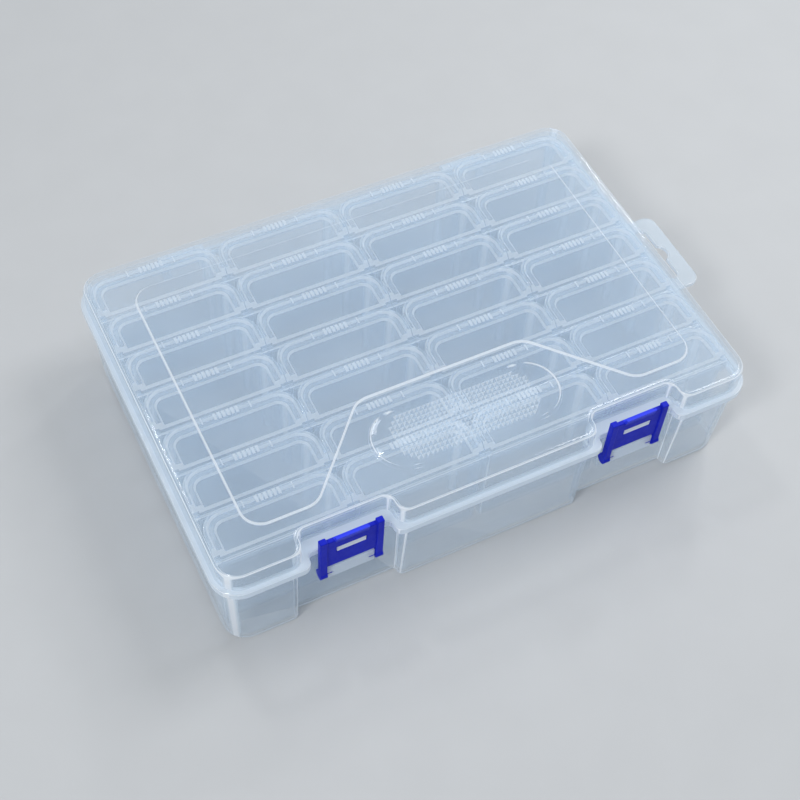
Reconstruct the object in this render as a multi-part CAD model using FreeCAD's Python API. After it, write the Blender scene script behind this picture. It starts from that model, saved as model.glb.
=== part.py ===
import FreeCAD, Part
import math
import os

# Clear storage case with a hinged lid, two snap latches and a hang tab.
# Inside stand rows of small lift-out boxes, each with its own flip lid.
# Millimetres. X runs along the front, Y from front to back, Z up.
# The origin is the centre of the tray's footprint, on the surface that it stands on.

# Case, measured over the rim of the lid
case_w = 240.0
case_d = 166.0
case_corner_r = 12.0
rim_z = 41.2

# Tray
tray_wall = 1.5
tray_floor = 1.6
foot_inset = 3.9
foot_chamfer = 1.2
foot_corner_r = 10.0
recess_depth = 4.1
recess_half = 22.2

# Lid
skirt_wall = 1.4
skirt_gap = 0.4
skirt_h = 3.6
skirt_edge_r = 0.6
ledge_t = 1.4
ledge_gap = 0.3
lid_inset = 2.0
lid_wall = 1.5
lid_rise = 13.2
lid_plate = 1.5
lid_edge_r = 2.2
lid_inner_r = 1.2
skirt_notch_half = 17.7
shelf_depth = 5.8
shelf_notch_half = 19.5
notch_convex_share = 0.60
notch_concave_share = 0.34

# Raised panel on the lid, with a bay round the finger grip
panel_half_w = 100.5
panel_half_d = 64.0
panel_rise = 0.8
panel_corner_r = 9.0
bay_depth = 37.0
bay_mouth_half = 71.5
bay_head_half = 37.8
bay_corner_r = 10.0

# Finger grip, an oval dish in the lid
grip_length = 83.0
grip_width = 27.5
grip_front = 19.5
grip_depth = 1.4
grip_plate = 1.1
grip_end_slope = 9.0
grip_side_slope = 1.2
grip_round_share = 0.98
grip_level_shares = (0.0, 0.35, 0.7, 1.0)

# Latches
latch_x = 64.5
latch_w = 27.0
latch_plate_t = 2.0
latch_gap = 0.3
latch_plate_low = 8.6
latch_plate_high = 9.4
latch_edge_r = 0.4
leg_w = 3.0
leg_proud = 0.7
leg_end_r = 2.4
leg_top_rise = 1.6
lip_w = 14.0
lip_rise = 2.4
lip_flare = 1.1
slot_w = 13.0
slot_h = 3.6
slot_rise = 0.4
nib_reach = 2.2
nib_clear = 0.4
pivot_drop = 14.2
pivot_reach = 2.8
pivot_pin_r = 1.2
pivot_pin_len = 2.4
lug_gap = 0.3
lug_reach = 4.0
lug_up = 4.0
lug_down = 3.5
running_fit = 0.08

# Rear hinge
hinge_x = 70.0
hinge_r = 2.3
hinge_pin_r = 1.1
hinge_gap = 0.4
hinge_side_gap = 0.3
knuckle_len = 12.0
ear_t = 4.0
ear_h = 7.0

# Hang tab
tab_reach = 15.0
tab_half = 21.3
tab_t = 2.2
tab_corner_r = 5.0
tab_edge_r = 0.5
tab_slot_half = 15.5
tab_slot_inner = 1.5
tab_slot_outer = 7.7
tab_slot_round_share = 0.96
tab_bump_rise = 2.7
tab_bump_r = 4.8

# Small boxes
columns = 4
rows = 7
array_side_gap = 0.2
array_back_gap = 0.2
array_front_gap = 0.5
box_gap = 0.4
box_wall = 1.0
box_floor = 1.0
box_rim = 1.2
box_rim_h = 2.0
box_far_r = 9.0
box_near_r = 2.6

# Flip lids
flip_gap = 0.2
flip_clear = 0.2
flip_h = 4.4
flip_edge_r = 0.5
flip_rim_w = 1.2
flip_shelf_w = 4.2
flip_step_run = 0.8
flip_step_drop = 1.0
flip_near_t = 1.4
flip_end_start = 1.0
flip_end_run = 3.0
barrel_r = 1.3
barrel_inset = 1.6
barrel_drop = 0.1
barrel_clear = 0.3
box_ear_t = 2.2
box_ear_h = 5.0
flip_pin_r = 0.7
flip_pin_len = 1.7
thumb_w = 13.0
thumb_t = 0.6
thumb_drop = 2.4
thumb_clear = 0.1
thumb_side_clear = 0.5
grip_rib_count = 6
grip_rib_span = 10.6
grip_rib_w = 1.2
grip_rib_rise = 0.3
cross_rib_x = 10.4
cross_rib_w = 0.6
rib_far = 0.4
rib_len = 3.2

# Cuts run past the faces they open by this much, and edges match a height to a share of it
overrun = 1.0
edge_match_share = 0.001

# Places worked out from the sizes above
half_w = case_w / 2
half_d = case_d / 2
skirt_top_z = rim_z + skirt_h
tray_h = skirt_top_z - ledge_t - ledge_gap
tray_rim_inset = skirt_wall + skirt_gap
recess_y = -(half_d - foot_inset) + recess_depth
notch_skirt_y = recess_y - skirt_gap - skirt_wall
shelf_y = notch_skirt_y + shelf_depth
lid_top_z = rim_z + lid_rise
latch_plate_in = notch_skirt_y - latch_gap
latch_plate_out = latch_plate_in - latch_plate_t
pivot_y = recess_y - pivot_reach
pivot_z = rim_z - pivot_drop
lug_half = latch_w / 2 - leg_w - lug_gap
slot_z = rim_z + slot_rise
hinge_y = half_d + hinge_gap + hinge_r
hinge_z = rim_z
tab_top_z = rim_z - skirt_gap
array_inset = max(foot_inset + tray_wall - box_rim, lid_inset + lid_wall)
array_half_w = half_w - array_inset - array_side_gap
array_back_y = half_d - array_inset - array_back_gap
array_front_y = max(shelf_y + lid_wall, recess_y + tray_wall) + array_front_gap
pitch_x = 2 * array_half_w / columns
pitch_y = (array_back_y - array_front_y) / rows
box_w = pitch_x - box_gap
box_d = pitch_y - box_gap
grip_low_z = lid_top_z - grip_depth - grip_plate
box_h = grip_low_z - flip_clear - grip_rib_rise - flip_h - flip_gap - tray_floor
flip_axis_z = box_h + barrel_drop


def vec(x, y, z):
    return FreeCAD.Vector(x, y, z)


def corner_frame(corners, i):
    """Corner i, unit vectors to its neighbours, half its angle and whether it turns left."""
    here = vec(corners[i][0], corners[i][1], 0)
    last = corners[i - 1]
    following = corners[(i + 1) % len(corners)]
    before = (vec(last[0], last[1], 0) - here).normalize()
    after = (vec(following[0], following[1], 0) - here).normalize()
    half = before.getAngle(after) / 2
    turns_left = after.cross(before).z > 0
    return here, before, after, half, turns_left


def inset(corners, distance):
    """The outline moved inwards, with its rounds following."""
    moved = []
    for i, corner in enumerate(corners):
        here, before, after, half, turns_left = corner_frame(corners, i)
        side = 1 if turns_left else -1
        inward = (before + after).normalize() * (side * distance / math.sin(half))
        moved.append((here.x + inward.x, here.y + inward.y, corner[2] - side * distance))
    return moved


def wire(corners, z):
    """Closed wire at height z through corners (x, y, radius), each rounded by a tangent arc."""
    arcs = []
    for i, corner in enumerate(corners):
        here, before, after, half, turns_left = corner_frame(corners, i)
        here.z = z
        reach = corner[2] / math.tan(half)
        bisector = (before + after).normalize()
        middle = here + bisector * (corner[2] / math.sin(half) - corner[2])
        arcs.append((here + before * reach, middle, here + after * reach))
    edges = []
    for i, (start, middle, end) in enumerate(arcs):
        edges.append(Part.Arc(start, middle, end).toShape())
        edges.append(Part.LineSegment(end, arcs[(i + 1) % len(arcs)][0]).toShape())
    return Part.Wire(edges)


def prism(corners, z0, z1):
    return Part.Face(wire(corners, z0)).extrude(vec(0, 0, z1 - z0))


def loft(levels):
    """Solid through outlines given as (corners, z), with straight sides between them."""
    return Part.makeLoft([wire(corners, z) for corners, z in levels], True, True)


def block(x0, x1, y0, y1, z0, z1):
    return Part.makeBox(x1 - x0, y1 - y0, z1 - z0, vec(x0, y0, z0))


def soft_block(x0, x1, y0, y1, z0, z1, radius):
    """A block with every edge rounded."""
    plain = block(x0, x1, y0, y1, z0, z1)
    return plain.makeFillet(radius, plain.Edges)


def rod(radius, x0, x1, y, z):
    """A round bar along X."""
    return Part.makeCylinder(radius, x1 - x0, vec(x0, y, z), vec(1, 0, 0))


def side_profile(points, x0, x1):
    """A profile of (y, z) points, pushed along X."""
    ring = [vec(x0, y, z) for y, z in points]
    return Part.Face(Part.makePolygon(ring + ring[:1])).extrude(vec(x1 - x0, 0, 0))


def edges_at(shape, z):
    """The edges of a prism that lie flat at height z."""
    close = overrun * edge_match_share
    flat = []
    for edge in shape.Edges:
        if abs(edge.BoundBox.ZMin - z) < close and abs(edge.BoundBox.ZMax - z) < close:
            flat.append(edge)
    return flat


def fused(shapes):
    return shapes[0].multiFuse(shapes[1:]).removeSplitter()


def notched_plan(half_width, half_depth, notch_y, notch_half, corner_r):
    """Plan of the case at one height: a rounded rectangle with a notch for each latch."""
    front = -half_depth
    convex_r = (notch_y - front) * notch_convex_share
    concave_r = (notch_y - front) * notch_concave_share
    corners = [(half_width, half_depth, corner_r), (-half_width, half_depth, corner_r),
               (-half_width, front, corner_r)]
    for centre in (-latch_x, latch_x):
        left = centre - notch_half
        right = centre + notch_half
        corners += [(left, front, convex_r), (left, notch_y, concave_r)]
        corners += [(right, notch_y, concave_r), (right, front, convex_r)]
    corners.append((half_width, front, corner_r))
    return corners


def tray_inset(z):
    """How far the tray's drafted wall stands inside the lid's rim at height z."""
    return foot_inset + (tray_rim_inset - foot_inset) * z / tray_h


def tray_plan(z):
    step = tray_inset(z)
    corner_r = foot_corner_r + foot_inset - step
    return notched_plan(half_w - step, half_d - step, recess_y, recess_half, corner_r)


def make_tray():
    shell = loft([(inset(tray_plan(foot_chamfer), foot_chamfer), 0),
                  (tray_plan(foot_chamfer), foot_chamfer), (tray_plan(tray_h), tray_h)])
    top = tray_h + overrun
    hollow = loft([(inset(tray_plan(tray_floor), tray_wall), tray_floor),
                   (inset(tray_plan(top), tray_wall), top)])
    tray = shell.cut(hollow)
    additions = [make_hang_tab()]
    pin_holes = []
    for centre in (-latch_x, latch_x):
        lug_in = recess_y + tray_wall / 2
        additions.append(soft_block(centre - lug_half, centre + lug_half, recess_y - lug_reach, lug_in,
                                    pivot_z - lug_down, pivot_z + lug_up, latch_edge_r))
        hole_depth = pivot_pin_len + lug_gap
        for end in (-1, 1):
            face = centre + end * lug_half
            x0 = min(face + end * overrun, face - end * hole_depth)
            x1 = max(face + end * overrun, face - end * hole_depth)
            pin_holes.append(rod(pivot_pin_r + running_fit, x0, x1, pivot_y, pivot_z))
    for centre in (-hinge_x, hinge_x):
        additions += make_hinge_ears(centre)
    return fused([tray] + additions).cut(Part.makeCompound(pin_holes))


def make_hinge_ears(centre):
    """Two ears on the tray's back wall, joined by the pin that the lid's knuckle turns on."""
    top = rim_z - hinge_gap
    low = top - ear_h
    root = half_d - tray_inset(low) - tray_wall / 2
    profile = [(root, low), (root, top), (hinge_y, top), (hinge_y, hinge_z - hinge_r)]
    inner = knuckle_len / 2 + hinge_side_gap
    pieces = [rod(hinge_pin_r, centre - inner - ear_t / 2, centre + inner + ear_t / 2, hinge_y, hinge_z)]
    for x0 in (centre - inner - ear_t, centre + inner):
        pieces.append(side_profile(profile, x0, x0 + ear_t))
        pieces.append(rod(hinge_r, x0, x0 + ear_t, hinge_y, hinge_z))
    return pieces


def make_hang_tab():
    low = tab_top_z - tab_t
    root = half_w - tray_inset(low) - tray_wall / 2
    outer = half_w + tab_reach
    root_r = 2 * tab_edge_r
    tab = prism([(outer, tab_half, tab_corner_r), (root, tab_half, root_r),
                 (root, -tab_half, root_r), (outer, -tab_half, tab_corner_r)], low, tab_top_z)
    slot_in = half_w + tab_slot_inner
    slot_out = half_w + tab_slot_outer
    slot_r = (slot_out - slot_in) / 2 * tab_slot_round_share
    slot = prism([(slot_out, tab_slot_half, slot_r), (slot_in, tab_slot_half, slot_r),
                  (slot_in, -tab_slot_half, slot_r), (slot_out, -tab_slot_half, slot_r)],
                 low - overrun, tab_top_z + overrun)
    bump_x = slot_out + tab_bump_rise - tab_bump_r
    bump = Part.makeCylinder(tab_bump_r, tab_t + 2 * overrun, vec(bump_x, 0, low - overrun))
    keep_bump = block(slot_in, slot_out + tab_bump_rise, -tab_bump_r, tab_bump_r,
                      low - overrun, tab_top_z + overrun)
    tab = tab.cut(slot.fuse(bump.common(keep_bump)).removeSplitter())
    return tab.makeFillet(tab_edge_r, edges_at(tab, low) + edges_at(tab, tab_top_z))


def panel_plan():
    bay_head_y = bay_depth - panel_half_d
    front = -panel_half_d
    return [(panel_half_w, panel_half_d, panel_corner_r), (-panel_half_w, panel_half_d, panel_corner_r),
            (-panel_half_w, front, panel_corner_r), (-bay_mouth_half, front, bay_corner_r),
            (-bay_head_half, bay_head_y, bay_corner_r), (bay_head_half, bay_head_y, bay_corner_r),
            (bay_mouth_half, front, bay_corner_r), (panel_half_w, front, panel_corner_r)]


def grip_plan(end_step, side_step):
    half_length = grip_length / 2 - end_step
    half_width = grip_width / 2 - side_step
    middle = -half_d + grip_front + grip_width / 2
    radius = half_width * grip_round_share
    return [(half_length, middle + half_width, radius), (-half_length, middle + half_width, radius),
            (-half_length, middle - half_width, radius), (half_length, middle - half_width, radius)]


def grip_levels(grow, drop, top):
    """The dish's outlines from its mouth down to its floor, on a quarter round profile."""
    levels = [(grip_plan(-grow, -grow), top)]
    for share in grip_level_shares:
        run = 1 - math.sqrt(1 - share * share)
        plan = grip_plan(grip_end_slope * run - grow, grip_side_slope * run - grow)
        levels.append((plan, lid_top_z - drop - grip_depth * share))
    return levels


def make_case_lid():
    skirt_plan = notched_plan(half_w, half_d, notch_skirt_y, skirt_notch_half, case_corner_r)
    upper_plan = notched_plan(half_w - lid_inset, half_d - lid_inset, shelf_y, shelf_notch_half,
                              case_corner_r - lid_inset)
    skirt = prism(skirt_plan, rim_z, skirt_top_z)
    skirt = skirt.makeFillet(skirt_edge_r, edges_at(skirt, rim_z) + edges_at(skirt, skirt_top_z))
    upper = prism(upper_plan, skirt_top_z - ledge_t, lid_top_z)
    upper = upper.makeFillet(lid_edge_r, edges_at(upper, lid_top_z))
    panel = loft([(panel_plan(), lid_top_z - lid_plate / 2), (panel_plan(), lid_top_z),
                  (inset(panel_plan(), panel_rise), lid_top_z + panel_rise)])
    skirt_hollow = prism(inset(skirt_plan, skirt_wall), rim_z - overrun, skirt_top_z - ledge_t)
    ceiling_z = lid_top_z - lid_plate
    upper_hollow = prism(inset(upper_plan, lid_wall), rim_z - overrun, ceiling_z)
    upper_hollow = upper_hollow.makeFillet(lid_inner_r, edges_at(upper_hollow, ceiling_z))
    shell = fused([skirt, upper, panel]).cut(skirt_hollow).cut(upper_hollow)
    pieces = [shell, loft(grip_levels(grip_plate, grip_plate, lid_top_z - grip_plate / 2))]
    for centre in (-latch_x, latch_x):
        nib_half = slot_w / 2 - nib_clear
        pieces.append(block(centre - nib_half, centre + nib_half, notch_skirt_y - nib_reach,
                            notch_skirt_y + skirt_wall / 2, slot_z + nib_clear, slot_z + slot_h - nib_clear))
    knuckle_holes = []
    for centre in (-hinge_x, hinge_x):
        x0 = centre - knuckle_len / 2
        x1 = centre + knuckle_len / 2
        pieces.append(rod(hinge_r, x0, x1, hinge_y, hinge_z))
        pieces.append(block(x0, x1, half_d - skirt_wall / 2, hinge_y, hinge_z, hinge_z + hinge_r))
        knuckle_holes.append(rod(hinge_pin_r + running_fit, x0 - overrun, x1 + overrun, hinge_y, hinge_z))
    dish = loft(grip_levels(0, 0, lid_top_z + panel_rise + overrun))
    return fused(pieces).cut(dish).cut(Part.makeCompound(knuckle_holes))


def make_latch(centre):
    low = rim_z - latch_plate_low
    high = rim_z + latch_plate_high
    half = latch_w / 2
    plate = soft_block(centre - half + leg_w / 2, centre + half - leg_w / 2,
                       latch_plate_out, latch_plate_in, low, high, latch_edge_r)
    lip = side_profile([(latch_plate_in, high - latch_plate_t), (latch_plate_out, high - latch_plate_t),
                        (latch_plate_out - lip_flare, high + lip_rise),
                        (latch_plate_out - lip_flare + latch_plate_t / 2, high + lip_rise)],
                       centre - lip_w / 2, centre + lip_w / 2)
    pieces = [plate, lip]
    for end in (-1, 1):
        outer = centre + end * half
        inner = outer - end * leg_w
        x0 = min(outer, inner)
        x1 = max(outer, inner)
        pieces.append(soft_block(x0, x1, latch_plate_out - leg_proud, latch_plate_in,
                                 pivot_z, high + leg_top_rise, latch_edge_r))
        pieces.append(rod(leg_end_r, x0, x1, pivot_y, pivot_z))
        tip = inner - end * pivot_pin_len
        root = inner + end * leg_w / 2
        pieces.append(rod(pivot_pin_r, min(tip, root), max(tip, root), pivot_y, pivot_z))
    slot = block(centre - slot_w / 2, centre + slot_w / 2, latch_plate_out - overrun,
                 latch_plate_in + overrun, slot_z, slot_z + slot_h)
    return fused(pieces).cut(slot)


def cell_plan(step):
    """Plan of one small box, set in by step: square at the hinge, round at the thumb side."""
    return inset([(box_w, box_d, box_far_r), (0, box_d, box_far_r), (0, 0, box_near_r),
                  (box_w, 0, box_near_r)], step)


def make_box():
    """One small box with its near left corner at the origin, open at the top."""
    shell = prism(cell_plan(box_rim), 0, box_h)
    rim = prism(cell_plan(0), box_h - box_rim_h, box_h)
    hollow = prism(cell_plan(box_rim + box_wall), box_floor, box_h + overrun)
    barrel_room = block(box_ear_t, box_w - box_ear_t, -overrun, barrel_inset + barrel_r + barrel_clear,
                        flip_axis_z - barrel_r - barrel_clear, box_h + overrun)
    thumb_half = thumb_w / 2 + thumb_side_clear
    thumb_room = block(box_w / 2 - thumb_half, box_w / 2 + thumb_half, box_d - box_rim, box_d + overrun,
                       box_h - box_rim_h - overrun, box_h + overrun)
    box = fused([shell, rim]).cut(hollow).cut(barrel_room).cut(thumb_room)
    pieces = [box]
    pin_holes = []
    for x0 in (0, box_w - box_ear_t):
        x1 = x0 + box_ear_t
        pieces.append(block(x0, x1, barrel_inset - barrel_r, barrel_inset + barrel_r,
                            box_h - box_ear_h, flip_axis_z))
        pieces.append(rod(barrel_r, x0, x1, barrel_inset, flip_axis_z))
        pin_holes.append(rod(flip_pin_r + running_fit, x0 - overrun, x1 + overrun,
                             barrel_inset, flip_axis_z))
    return fused(pieces).cut(Part.makeCompound(pin_holes))


def recess_plan(step):
    """Plan of a flip lid's sunken middle, set in by step from the lid's edge, open at the hinge."""
    far_r = box_far_r - step
    return [(box_w - step, box_d - step, far_r), (step, box_d - step, far_r),
            (step, -overrun, box_near_r), (box_w - step, -overrun, box_near_r)]


def make_flip_lid():
    """The lid of one small box, closed, in the box's own frame: its middle sinks in two steps."""
    low = box_h + flip_gap
    high = low + flip_h
    shelf_top = high - flip_step_drop
    panel_top = shelf_top - flip_step_drop
    cap = prism(cell_plan(0), low, high)
    cap = cap.makeFillet(flip_edge_r, edges_at(cap, high))
    for edge_w, floor_z in ((flip_rim_w, shelf_top), (flip_shelf_w, panel_top)):
        mouth = recess_plan(edge_w)
        cap = cap.cut(loft([(recess_plan(edge_w + flip_step_run), floor_z),
                            (mouth, floor_z + flip_step_drop), (mouth, high + overrun)]))
    end_y = barrel_inset + flip_end_start
    near_end = side_profile([(-overrun, low + flip_near_t), (end_y, low + flip_near_t),
                             (end_y + flip_end_run, high), (end_y + flip_end_run, high + overrun),
                             (-overrun, high + overrun)], -overrun, box_w + overrun)
    ear_room = barrel_inset + barrel_r + barrel_clear
    barrel_end = box_ear_t + barrel_clear
    cuts = [block(-overrun, box_w + overrun, -overrun, barrel_inset, low - overrun, high + overrun)]
    for x0, x1 in ((-overrun, barrel_end), (box_w - barrel_end, box_w + overrun)):
        cuts.append(block(x0, x1, -overrun, ear_room, low - overrun, high + overrun))
    cap = cap.cut(near_end).cut(Part.makeCompound(cuts))
    pieces = [cap, rod(barrel_r, barrel_end, box_w - barrel_end, barrel_inset, flip_axis_z)]
    pin_reach = barrel_end - flip_pin_len - barrel_clear
    pieces.append(rod(flip_pin_r, pin_reach, box_w - pin_reach, barrel_inset, flip_axis_z))
    thumb_in = box_d - box_rim + thumb_clear
    pieces.append(block(box_w / 2 - thumb_w / 2, box_w / 2 + thumb_w / 2, thumb_in, thumb_in + thumb_t,
                        flip_axis_z - thumb_drop, panel_top))
    rib_y = box_d - rib_far
    rib_pitch = (grip_rib_span - grip_rib_w) / (grip_rib_count - 1)
    for i in range(grip_rib_count):
        x0 = box_w / 2 - grip_rib_span / 2 + i * rib_pitch
        pieces.append(block(x0, x0 + grip_rib_w, rib_y - rib_len, rib_y, panel_top, high + grip_rib_rise))
    for side in (-1, 1):
        x0 = box_w / 2 + side * cross_rib_x - cross_rib_w / 2
        pieces.append(block(x0, x0 + cross_rib_w, rib_y - rib_len, rib_y, panel_top,
                            high + grip_rib_rise))
    return fused(pieces)


def make_parts():
    parts = {"base_tray": make_tray(), "case_lid": make_case_lid(),
             "latch_left": make_latch(-latch_x), "latch_right": make_latch(latch_x)}
    box = make_box()
    flip_lid = make_flip_lid()
    for row in range(rows):
        for column in range(columns):
            place = vec(-array_half_w + column * pitch_x + box_gap / 2,
                        array_front_y + row * pitch_y + box_gap / 2, tray_floor)
            name = "r%dc%d" % (row + 1, column + 1)
            parts["box_" + name] = box.translated(place)
            parts["flip_lid_" + name] = flip_lid.translated(place)
    return parts


parts = make_parts()
os.makedirs("parts", exist_ok=True)
for name, shape in parts.items():
    shape.exportStep("parts/%s.step" % name)
    if name.endswith("r1c1") or not name[-1].isdigit():
        print(name, len(shape.Solids), shape.isValid(), round(shape.Volume), shape.BoundBox)
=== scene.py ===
import math

import bpy
from mathutils import Matrix, Vector


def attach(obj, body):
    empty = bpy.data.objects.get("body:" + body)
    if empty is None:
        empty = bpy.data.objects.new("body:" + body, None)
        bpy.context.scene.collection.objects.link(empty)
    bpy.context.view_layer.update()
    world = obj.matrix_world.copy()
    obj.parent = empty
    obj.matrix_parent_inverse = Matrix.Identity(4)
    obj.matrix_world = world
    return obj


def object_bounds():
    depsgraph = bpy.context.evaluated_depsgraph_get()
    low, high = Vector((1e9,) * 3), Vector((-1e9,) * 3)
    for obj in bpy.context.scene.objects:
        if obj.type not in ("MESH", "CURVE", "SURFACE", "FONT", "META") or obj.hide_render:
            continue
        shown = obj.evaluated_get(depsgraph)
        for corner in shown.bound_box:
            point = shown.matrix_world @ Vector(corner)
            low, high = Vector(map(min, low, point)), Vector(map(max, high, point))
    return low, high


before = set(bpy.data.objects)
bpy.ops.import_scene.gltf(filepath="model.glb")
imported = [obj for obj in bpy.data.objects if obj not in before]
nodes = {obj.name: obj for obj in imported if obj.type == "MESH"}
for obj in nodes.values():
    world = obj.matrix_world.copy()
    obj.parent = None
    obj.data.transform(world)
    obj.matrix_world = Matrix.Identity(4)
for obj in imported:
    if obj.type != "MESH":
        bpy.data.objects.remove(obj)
cad_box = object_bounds()

# The camera that took the photograph, in metres and degrees, looking at the tray's centre
camera_azimuth = -30.273
camera_elevation = 54.158
camera_roll = 4.602
camera_distance = 0.635319
photo_width_px = 800
focal_length_px = 1414.893
shift_right_px = 5.057
sensor_width_mm = 36.0

# Finger grip: a field of small pyramids on the floor of the lid's oval dish
grip_middle_y = -0.04975
grip_field_half_x = 0.0322
grip_field_half_y = 0.0124
pyramid_pitch = 0.0021
pyramid_height = 0.0006
pyramid_seat = 0.0001

# Clear plastic: what its film lets through, and the colours and shares of its haze, its shine, and the
# painted highlights that whiten its rounded edges and the faces of the grip's pyramids.
# A normal's largest part is near 1 on flats, and falls to the edge value on rounded edges.
clear_film = (0.988, 0.990, 0.992, 1.0)
blue_haze = (0.75, 0.88, 1.0, 1.0)
painted_highlight_white = (0.94, 0.97, 1.0, 1.0)
sheet_haze = 0.105
case_edge_highlight_share = 0.70
case_glancing_haze = 0.35
box_edge_highlight_share = 0.50
box_glancing_haze = 0.30
grip_haze = 0.02
grip_glancing_haze = 0.20
grip_facet_highlight_share = 0.28
glow_share = 0.4
gloss_roughness = 0.08
milk_roughness = 0.35
mirror_share = 0.03
glancing_mirror_share = 0.6
flat_normal = 0.93
case_flat_normal = 0.85
edge_normal = 0.76
# Painted highlight on the grip's pyramids: faces turned toward this direction show whiter, the others nearly
# clear
facet_light = (-0.75, 0.55, 0.0)
facet_dark = -0.1
facet_bright = 0.4
cloud_scale = 28.0

# Latches: two blues of a faint mottle, and the lighter blue painted on the lip as a highlight where it tilts
# toward the light
latch_blue_dark = (0.007, 0.015, 0.44, 1.0)
latch_blue_light = (0.011, 0.021, 0.52, 1.0)
lip_highlight_blue = (0.034, 0.056, 0.76, 1.0)
latch_shine = 0.10
latch_roughness = (0.38, 0.50)
latch_mottle_scale = 140.0
latch_worn_scale = 600.0
latch_grain_scale = 1500.0
latch_grain_strength = 0.08
latch_grain_depth = 0.0003

# Places on the solids, in metres, painted whiter or lighter than the rest as painted highlights, and by what
# share
mask_fade = 0.0001
latch_x = 0.0645
nib_half = 0.0062
nib_front_y = -0.0769
nib_low_z = 0.0420
nib_high_z = 0.0448
rib_z = 0.0516
flip_shelf_z = 0.0503
flip_shelf_share = 0.22
skirt_low_z = 0.0412
skirt_high_z = 0.0448
skirt_share = 0.60
lug_half = 0.0102
lug_front_y = -0.0751
lug_low_z = 0.0235
lug_high_z = 0.0310
lug_share = 0.60
tab_x = 0.1205
tab_share = 0.30
lip_z = 0.0507
lip_half = 0.0072
lip_fade = 0.0008

# Stage
floor_half = 4.0
floor_colour = (0.50, 0.51, 0.52, 1.0)
floor_shade = (0.490, 0.4998, 0.5096, 1.0)
floor_roughness = 0.7
floor_fibre_scale = 40.0

# Light: an even sky, and soft boxes given as name, place and size in metres, and watts
sky_colour = (0.90, 0.95, 1.0, 1.0)
sky_strength = 0.53
lamps = (
    ("key_left", (-0.9, -0.5, 1.1), 0.3, 8.0),
    ("right_near", (0.55, 0.05, 0.80), 0.4, 3.5),
    ("back_right", (0.80, 0.64, 0.74), 0.12, 1.6),
    ("back_left", (-0.13, 0.61, 1.03), 0.12, 1.2),
)


class Tree:
    """A material's node tree, with a short way to add nodes and join them."""

    def __init__(self, name):
        self.material = bpy.data.materials.new(name)
        self.material.use_nodes = True
        self.tree = self.material.node_tree
        self.tree.nodes.clear()

    def add(self, kind, settings=None, **inputs):
        node = self.tree.nodes.new(kind)
        for key, value in (settings or {}).items():
            setattr(node, key, value)
        for key, value in inputs.items():
            self.set(node.inputs[key.replace("_", " ")], value)
        return node

    def set(self, socket, value):
        if isinstance(value, bpy.types.NodeSocket):
            self.tree.links.new(value, socket)
        else:
            socket.default_value = value

    def math(self, operation, a, b=0.0, clamp=False):
        node = self.tree.nodes.new("ShaderNodeMath")
        node.operation = operation
        node.use_clamp = clamp
        self.set(node.inputs[0], a)
        self.set(node.inputs[1], b)
        return node.outputs[0]

    def mix_shader(self, share, first, second):
        node = self.tree.nodes.new("ShaderNodeMixShader")
        self.set(node.inputs[0], share)
        self.set(node.inputs[1], first)
        self.set(node.inputs[2], second)
        return node.outputs[0]

    def noise(self, coordinates, scale, detail=2.0):
        node = self.add("ShaderNodeTexNoise", Vector=coordinates, Scale=scale, Detail=detail)
        return node.outputs["Factor"] if "Factor" in node.outputs else node.outputs["Fac"]

    def two_colours(self, share, first, second):
        node = self.tree.nodes.new("ShaderNodeMix")
        node.data_type = "RGBA"
        colours = [s for s in node.inputs if s.type == "RGBA"]
        self.set(node.inputs[0], share)
        self.set(colours[0], first)
        self.set(colours[1], second)
        return [s for s in node.outputs if s.type == "RGBA"][0]

    def map_range(self, value, low, high, to_low, to_high):
        node = self.tree.nodes.new("ShaderNodeMapRange")
        for socket, number in zip(node.inputs[:5], (value, low, high, to_low, to_high)):
            self.set(socket, number)
        return node.outputs[0]

    def bump(self, height, strength, distance):
        node = self.add("ShaderNodeBump", Strength=strength, Distance=distance, Height=height)
        return node.outputs["Normal"]

    def finish(self, surface):
        output = self.tree.nodes.new("ShaderNodeOutputMaterial")
        self.tree.links.new(surface, output.inputs["Surface"])
        return self.material


def band(t, value, low, high, soft):
    """1 where value lies between low and high, fading to 0 over soft on each side."""
    rise = t.map_range(value, low - soft, low, 0.0, 1.0)
    fall = t.map_range(value, high, high + soft, 1.0, 0.0)
    return t.math("MULTIPLY", rise, fall)


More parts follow.
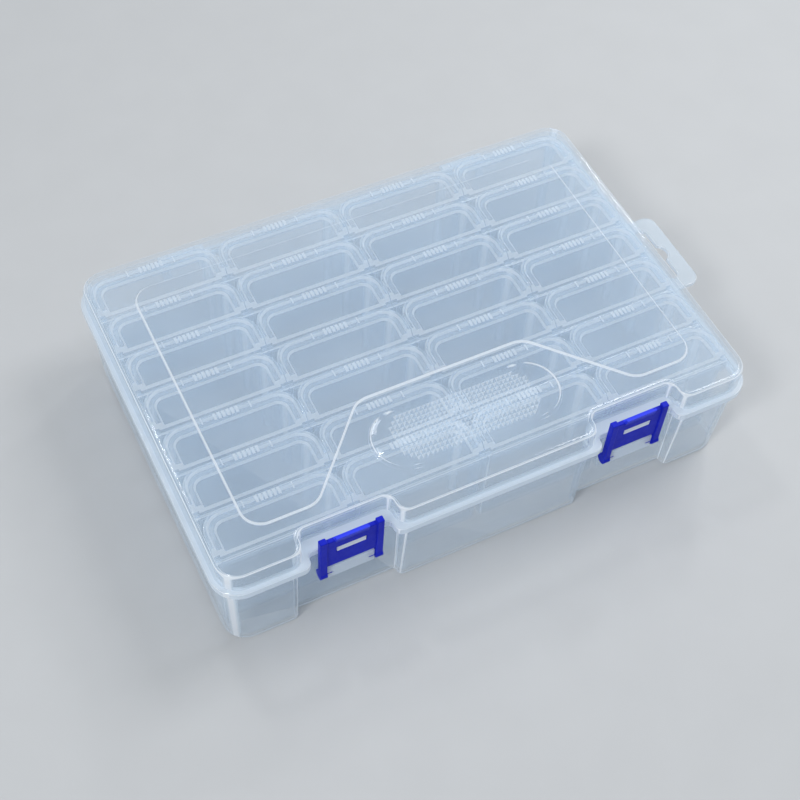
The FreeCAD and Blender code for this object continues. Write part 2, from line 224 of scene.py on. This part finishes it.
def clear_plastic(name, painted_highlight_share, glancing_haze, haze=sheet_haze, painted_highlight_spot=None, facet_highlight_share=0.0,
                  flat=flat_normal):
    """Clear moulded plastic, a little milky and blue, whiter seen edge-on, with a painted highlight that
    whitens its rounded edges.
    """
    t = Tree(name)
    place = t.add("ShaderNodeTexCoord")
    at = place.outputs["Object"]
    squared_off = t.add("ShaderNodeVectorMath", {"operation": "ABSOLUTE"})
    t.set(squared_off.inputs[0], place.outputs["Normal"])
    parts = t.add("ShaderNodeSeparateXYZ", Vector=squared_off.outputs[0])
    along = t.math("MAXIMUM", t.math("MAXIMUM", parts.outputs[0], parts.outputs[1]), parts.outputs[2])
    # Painted highlight: rounded edges are whitened and made more opaque
    edge = t.map_range(along, flat, edge_normal, 0.0, 1.0)
    # Painted highlight: on the grip's pyramids, the faces turned toward facet_light are whitened in place of
    # the rounded edges
    if facet_highlight_share:
        tilt = t.add("ShaderNodeVectorMath", {"operation": "DOT_PRODUCT"})
        t.set(tilt.inputs[0], place.outputs["Normal"])
        t.set(tilt.inputs[1], facet_light)
        edge = t.map_range(tilt.outputs["Value"], facet_dark, facet_bright, 0.0, 1.0)
        painted_highlight_share = facet_highlight_share
    # Painted highlights at the given places are whitened the way the rounded edges are
    if painted_highlight_spot:
        edge = t.math("MAXIMUM", edge, painted_highlight_spot(t, t.add("ShaderNodeSeparateXYZ", Vector=at)))
    facing = t.add("ShaderNodeLayerWeight", Blend=0.5).outputs["Facing"]
    glancing = t.math("POWER", facing, 3.0)
    cloud = t.map_range(t.noise(at, cloud_scale, 1.0), 0.3, 0.7, 0.8, 1.2)
    amount = t.math("MULTIPLY", cloud, haze)
    amount = t.math("ADD", amount, t.math("MULTIPLY", edge, painted_highlight_share))
    amount = t.math("ADD", amount, t.math("MULTIPLY", glancing, glancing_haze), clamp=True)
    colour = t.two_colours(edge, blue_haze, painted_highlight_white)
    milky = t.add("ShaderNodeBsdfPrincipled", Base_Color=colour, Roughness=milk_roughness)
    milky.inputs["Specular IOR Level"].default_value = 0.0
    glow = t.add("ShaderNodeBsdfTranslucent", Color=colour)
    body = t.mix_shader(glow_share, milky.outputs[0], glow.outputs[0])
    open_film = t.add("ShaderNodeBsdfTransparent", Color=clear_film)
    sheet = t.mix_shader(amount, open_film.outputs[0], body)
    gloss = t.add("ShaderNodeBsdfGlossy", Color=(1.0, 1.0, 1.0, 1.0), Roughness=gloss_roughness)
    slant = t.math("MULTIPLY", t.math("POWER", facing, 5.0), glancing_mirror_share)
    mirror = t.math("ADD", slant, mirror_share)
    return t.finish(t.mix_shader(mirror, sheet, gloss.outputs[0]))


def front_block(t, at, half, front_y, low_z, high_z):
    """1 on what stands out from the case's front at each latch, within these limits."""
    across = band(t, t.math("ABSOLUTE", at.outputs[0]), latch_x - half, latch_x + half, mask_fade)
    forward = t.map_range(at.outputs[1], front_y, front_y - mask_fade, 0.0, 1.0)
    level = band(t, at.outputs[2], low_z, high_z, mask_fade)
    return t.math("MULTIPLY", t.math("MULTIPLY", across, forward), level)


def case_painted_highlights(t, at):
    """Painted highlights on the case: nibs in the latches' slots painted white as if lit through, and
    whitened pivot lugs, hang tab and skirt.
    """
    # Painted highlight: the nibs show white as if light came through them
    nibs = front_block(t, at, nib_half, nib_front_y, nib_low_z, nib_high_z)
    lugs = t.math("MULTIPLY", front_block(t, at, lug_half, lug_front_y, lug_low_z, lug_high_z), lug_share)
    tab = t.map_range(at.outputs[0], tab_x, tab_x + mask_fade, 0.0, tab_share)
    skirt = t.math("MULTIPLY", band(t, at.outputs[2], skirt_low_z, skirt_high_z, 2 * mask_fade), skirt_share)
    return t.math("MAXIMUM", t.math("MAXIMUM", nibs, lugs), t.math("MAXIMUM", tab, skirt))


def flip_painted_highlights(t, at):
    """Painted highlights on a flip lid: its raised border, and the thumb ribs that stand a little above it.
    """
    border = t.map_range(at.outputs[2], flip_shelf_z - mask_fade, flip_shelf_z, 0.0, flip_shelf_share)
    return t.math("MAXIMUM", border, t.map_range(at.outputs[2], rib_z - mask_fade, rib_z, 0.0, 1.0))


def latch_plastic():
    """Opaque royal blue plastic with a faint mottle, a soft shine, and a painted highlight on the lip."""
    t = Tree("latch_blue")
    at = t.add("ShaderNodeTexCoord").outputs["Object"]
    mottle = t.map_range(t.noise(at, latch_mottle_scale, 3.0), 0.3, 0.7, 0.0, 1.0)
    colour = t.two_colours(mottle, latch_blue_dark, latch_blue_light)
    parts = t.add("ShaderNodeSeparateXYZ", Vector=at)
    # Painted highlight: the lip, which tilts up toward the light, is painted a lighter blue
    across = band(t, t.math("ABSOLUTE", parts.outputs[0]), latch_x - lip_half, latch_x + lip_half, mask_fade)
    lip = t.math("MULTIPLY", across, t.map_range(parts.outputs[2], lip_z - lip_fade, lip_z, 0.0, 1.0))
    colour = t.two_colours(lip, colour, lip_highlight_blue)
    rough = t.map_range(t.noise(at, latch_worn_scale), 0.3, 0.7, *latch_roughness)
    grain = t.bump(t.noise(at, latch_grain_scale), latch_grain_strength, latch_grain_depth)
    skin = t.add("ShaderNodeBsdfPrincipled", Base_Color=colour, Roughness=rough, Normal=grain)
    skin.inputs["Specular IOR Level"].default_value = latch_shine
    return t.finish(skin.outputs[0])


def floor_paper():
    """Plain pale paper with a faint fibre."""
    t = Tree("floor_paper")
    at = t.add("ShaderNodeTexCoord").outputs["Object"]
    fibre = t.map_range(t.noise(at, floor_fibre_scale), 0.3, 0.7, 0.0, 1.0)
    colour = t.two_colours(fibre, floor_shade, floor_colour)
    skin = t.add("ShaderNodeBsdfPrincipled", Base_Color=colour, Roughness=floor_roughness)
    return t.finish(skin.outputs[0])


def dress_cad_nodes():
    case = clear_plastic("clear_case", case_edge_highlight_share, case_glancing_haze, painted_highlight_spot=case_painted_highlights,
                         flat=case_flat_normal)
    box = clear_plastic("clear_box", box_edge_highlight_share, box_glancing_haze)
    flip = clear_plastic("clear_flip_lid", box_edge_highlight_share, box_glancing_haze, painted_highlight_spot=flip_painted_highlights)
    blue = latch_plastic()
    for name, node in nodes.items():
        if name.startswith("latch"):
            finish = blue
        elif name.startswith("box"):
            finish = box
        elif name.startswith("flip"):
            finish = flip
        else:
            finish = case
        node.data.materials.clear()
        node.data.materials.append(finish)


def make_grip_texture():
    """Small pyramids moulded on the floor of the finger grip."""
    lid = nodes["case_lid"]
    top = cad_box[1].z
    spot = lid.ray_cast(Vector((0, grip_middle_y, top)), Vector((0, 0, -1)))[1]
    floor_z = spot.z - pyramid_seat
    columns = int(2 * grip_field_half_x / pyramid_pitch)
    rows = int(2 * grip_field_half_y / pyramid_pitch)
    half = pyramid_pitch / 2
    points = []
    faces = []
    for i in range(columns):
        for j in range(rows):
            x = (i - (columns - 1) / 2) * pyramid_pitch
            y = (j - (rows - 1) / 2) * pyramid_pitch
            overhang = max(0.0, abs(x) - grip_field_half_x + grip_field_half_y)
            if math.hypot(overhang, y) > grip_field_half_y:
                continue
            first = len(points)
            for dx, dy in ((-half, -half), (half, -half), (half, half), (-half, half)):
                points.append((x + dx, grip_middle_y + y + dy, floor_z))
            points.append((x, grip_middle_y + y, floor_z + pyramid_seat + pyramid_height))
            corners = [first, first + 1, first + 2, first + 3]
            faces.append(tuple(reversed(corners)))
            for k in range(4):
                faces.append((corners[k], corners[(k + 1) % 4], first + 4))
    mesh = bpy.data.meshes.new("grip_pyramids")
    mesh.from_pydata(points, [], faces)
    # The pyramids' faces turned one way get a painted highlight
    mesh.materials.append(clear_plastic("clear_case_grip", 0.0, grip_glancing_haze, haze=grip_haze,
                                        facet_highlight_share=grip_facet_highlight_share))
    piece = bpy.data.objects.new("grip_pyramids", mesh)
    bpy.context.scene.collection.objects.link(piece)
    piece.visible_shadow = False
    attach(piece, "case_lid")


def make_stage():
    mesh = bpy.data.meshes.new("floor")
    corners = [(-floor_half, -floor_half, 0), (floor_half, -floor_half, 0),
               (floor_half, floor_half, 0), (-floor_half, floor_half, 0)]
    mesh.from_pydata(corners, [], [(0, 1, 2, 3)])
    mesh.materials.append(floor_paper())
    floor = bpy.data.objects.new("floor", mesh)
    bpy.context.scene.collection.objects.link(floor)


def soft_lamp(name, place, size, watts):
    """A square soft box that faces the object."""
    light = bpy.data.lights.new(name, "AREA")
    light.shape = "SQUARE"
    light.size = size
    light.energy = watts
    lamp = bpy.data.objects.new(name, light)
    lamp.location = place
    lamp.rotation_mode = "QUATERNION"
    lamp.rotation_quaternion = (-Vector(place)).to_track_quat("-Z", "Y")
    bpy.context.scene.collection.objects.link(lamp)


def make_light():
    world = bpy.data.worlds.new("studio")
    world.use_nodes = True
    sky = world.node_tree.nodes["Background"]
    sky.inputs["Color"].default_value = sky_colour
    sky.inputs["Strength"].default_value = sky_strength
    bpy.context.scene.world = world
    for name, place, size, watts in lamps:
        soft_lamp(name, place, size, watts)


def make_camera():
    azimuth = math.radians(camera_azimuth)
    elevation = math.radians(camera_elevation)
    roll = math.radians(camera_roll)
    back = Vector((math.sin(azimuth) * math.cos(elevation), -math.cos(azimuth) * math.cos(elevation),
                   math.sin(elevation)))
    level = Vector((math.cos(azimuth), math.sin(azimuth), 0))
    upright = back.cross(level)
    right = level * math.cos(roll) + upright * math.sin(roll)
    up = upright * math.cos(roll) - level * math.sin(roll)
    lens = bpy.data.cameras.new("camera")
    lens.sensor_width = sensor_width_mm
    lens.lens = focal_length_px / photo_width_px * sensor_width_mm
    lens.shift_x = -shift_right_px / photo_width_px
    camera = bpy.data.objects.new("camera", lens)
    camera.matrix_world = Matrix.Translation(back * camera_distance) @ Matrix(
        (right, up, back)).transposed().to_4x4()
    bpy.context.scene.collection.objects.link(camera)
    bpy.context.scene.camera = camera


def set_light_paths():
    """Enough bounces to see through every wall of the nested boxes."""
    cycles = bpy.context.scene.cycles
    cycles.transparent_max_bounces = 96
    cycles.max_bounces = 12
    cycles.diffuse_bounces = 5
    cycles.transmission_bounces = 16


bpy.context.scene.view_settings.view_transform = "Standard"
dress_cad_nodes()
make_grip_texture()
make_stage()
make_light()
make_camera()
set_light_paths()
